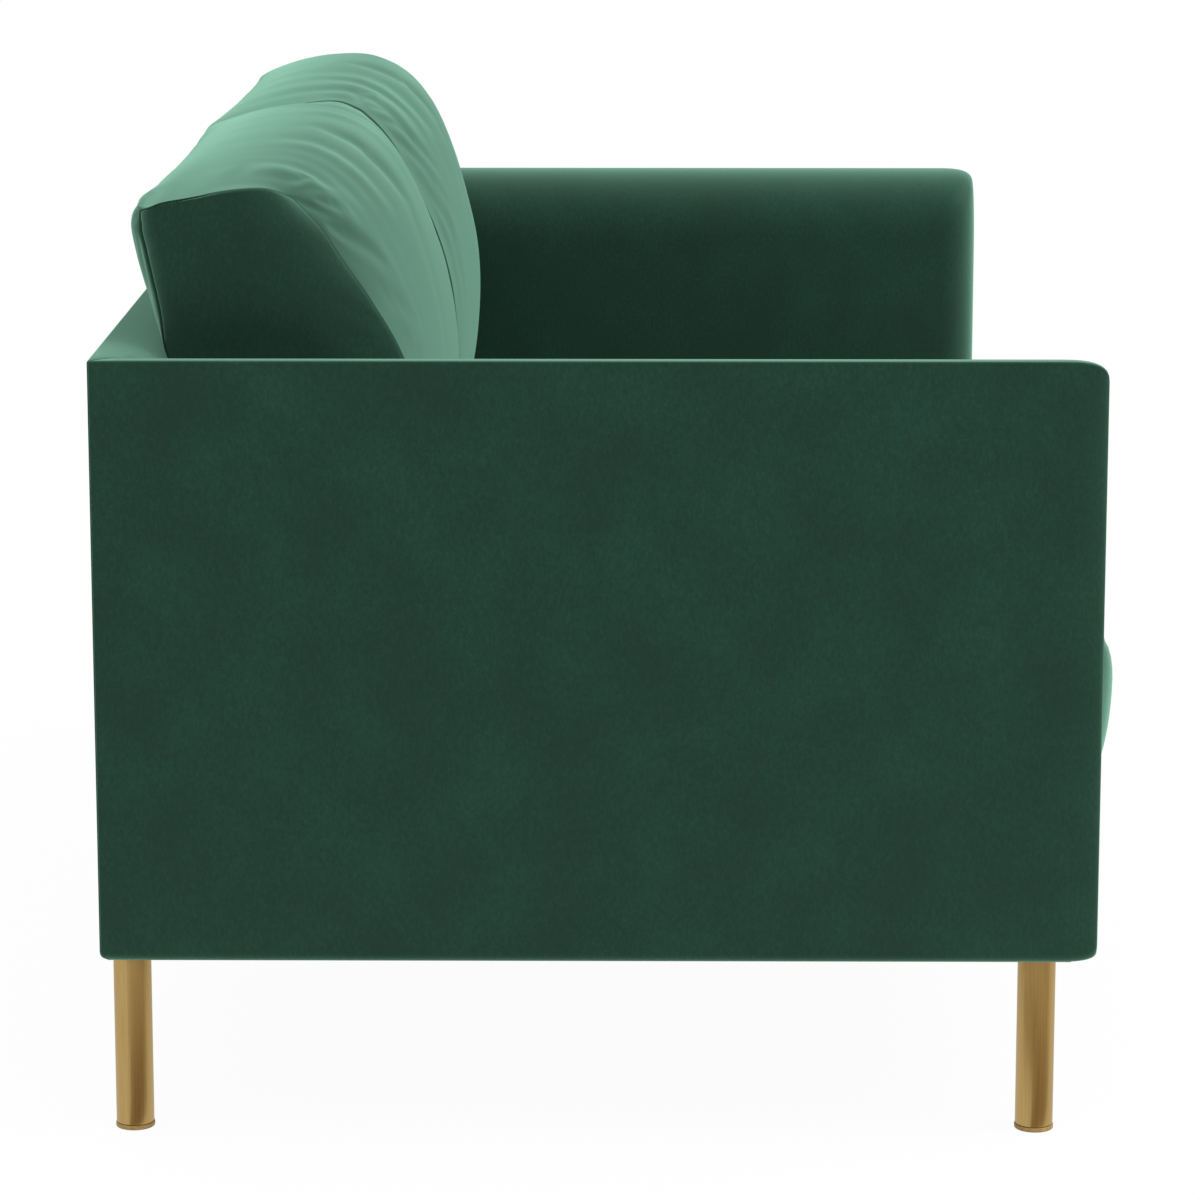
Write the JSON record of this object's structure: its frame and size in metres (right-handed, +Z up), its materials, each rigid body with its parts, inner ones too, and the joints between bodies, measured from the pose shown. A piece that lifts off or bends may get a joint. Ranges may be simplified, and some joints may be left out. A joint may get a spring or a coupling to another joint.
{
  "type": "two-seater sofa",
  "caption": "Compact slim-arm upholstered sofa with loose seat and back cushions, a padded timber frame on zigzag springs, and round tube legs.",
  "frame": {"origin": "on the floor, under the middle of the overall footprint", "axes": "+Z up, front faces -Y, +X to the right as seen from the front"},
  "size_m": [1.52, 0.905, 0.866],
  "materials": {
    "velvet": "deep green cut velvet, light at grazing angles",
    "felt": "grey needled felt",
    "dust_cover": "black non-woven",
    "timber": "planed softwood, unfinished",
    "hardboard": "smooth hardboard",
    "webbing": "woven elastic webbing",
    "steel": "zinc-plated",
    "leg_brass": "satin brass, lacquered",
    "glide": "moulded, matt",
    "foam": "upholstery foam with fibre wrap",
    "zip": "closed-end zip on woven tape"
  },
  "bodies": {
    "frame": {"left_arm_cover": "velvet", "right_arm_cover": "velvet", "back_cover": "velvet", "front_border": "velvet", "deck_pad": "felt", "dust_cover": "dust_cover", "left_arm_front_post": "timber", "left_arm_rear_post": "timber", "left_arm_top_rail": "timber", "left_arm_bottom_rail": "timber", "left_arm_outer_board": "hardboard", "left_arm_inner_board": "hardboard", "right_arm_front_post": "timber", "right_arm_rear_post": "timber", "right_arm_top_rail": "timber", "right_arm_bottom_rail": "timber", "right_arm_outer_board": "hardboard", "right_arm_inner_board": "hardboard", "back_top_rail": "timber", "back_bottom_rail": "timber", "back_post_left": "timber", "back_post_centre": "timber", "back_post_right": "timber", "back_outer_board": "hardboard", "back_webbing": "webbing", "front_rail": "timber", "rear_rail": "timber", "left_side_rail": "timber", "right_side_rail": "timber", "centre_rail": "timber", "left_seat_springs": "steel", "right_seat_springs": "steel", "front_spring_clip": "steel", "rear_spring_clip": "steel", "arm_bolt_front_left": "steel", "arm_bolt_rear_left": "steel", "arm_bolt_front_right": "steel", "arm_bolt_rear_right": "steel", "back_bolt_left": "steel", "back_bolt_right": "steel", "leg_front_left": "leg_brass", "leg_rear_left": "leg_brass", "leg_front_right": "leg_brass", "leg_rear_right": "leg_brass", "glide_front_left": "glide", "glide_rear_left": "glide", "glide_front_right": "glide", "glide_rear_right": "glide"},
    "left_seat_cushion": {"left_seat_cushion_cover": "velvet", "left_seat_cushion_core": "foam", "left_seat_cushion_zip": "zip"},
    "right_seat_cushion": {"right_seat_cushion_cover": "velvet", "right_seat_cushion_core": "foam", "right_seat_cushion_zip": "zip"},
    "left_back_cushion": {"left_back_cushion_cover": "velvet", "left_back_cushion_core": "foam", "left_back_cushion_zip": "zip"},
    "right_back_cushion": {"right_back_cushion_cover": "velvet", "right_back_cushion_core": "foam", "right_back_cushion_zip": "zip"}
  },
  "joints": [
    {"name": "left_seat_pull_out", "type": "slide", "parent": "frame", "child": "left_seat_cushion", "axis": [0, -1, 0], "range_m": [0, 0.8]},
    {"name": "right_seat_pull_out", "type": "slide", "parent": "frame", "child": "right_seat_cushion", "axis": [0, -1, 0], "range_m": [0, 0.8]},
    {"name": "left_back_lift", "type": "slide", "parent": "frame", "child": "left_back_cushion", "axis": [0, 0, 1], "range_m": [0, 0.3]},
    {"name": "right_back_lift", "type": "slide", "parent": "frame", "child": "right_back_cushion", "axis": [0, 0, 1], "range_m": [0, 0.3]}
  ]
}
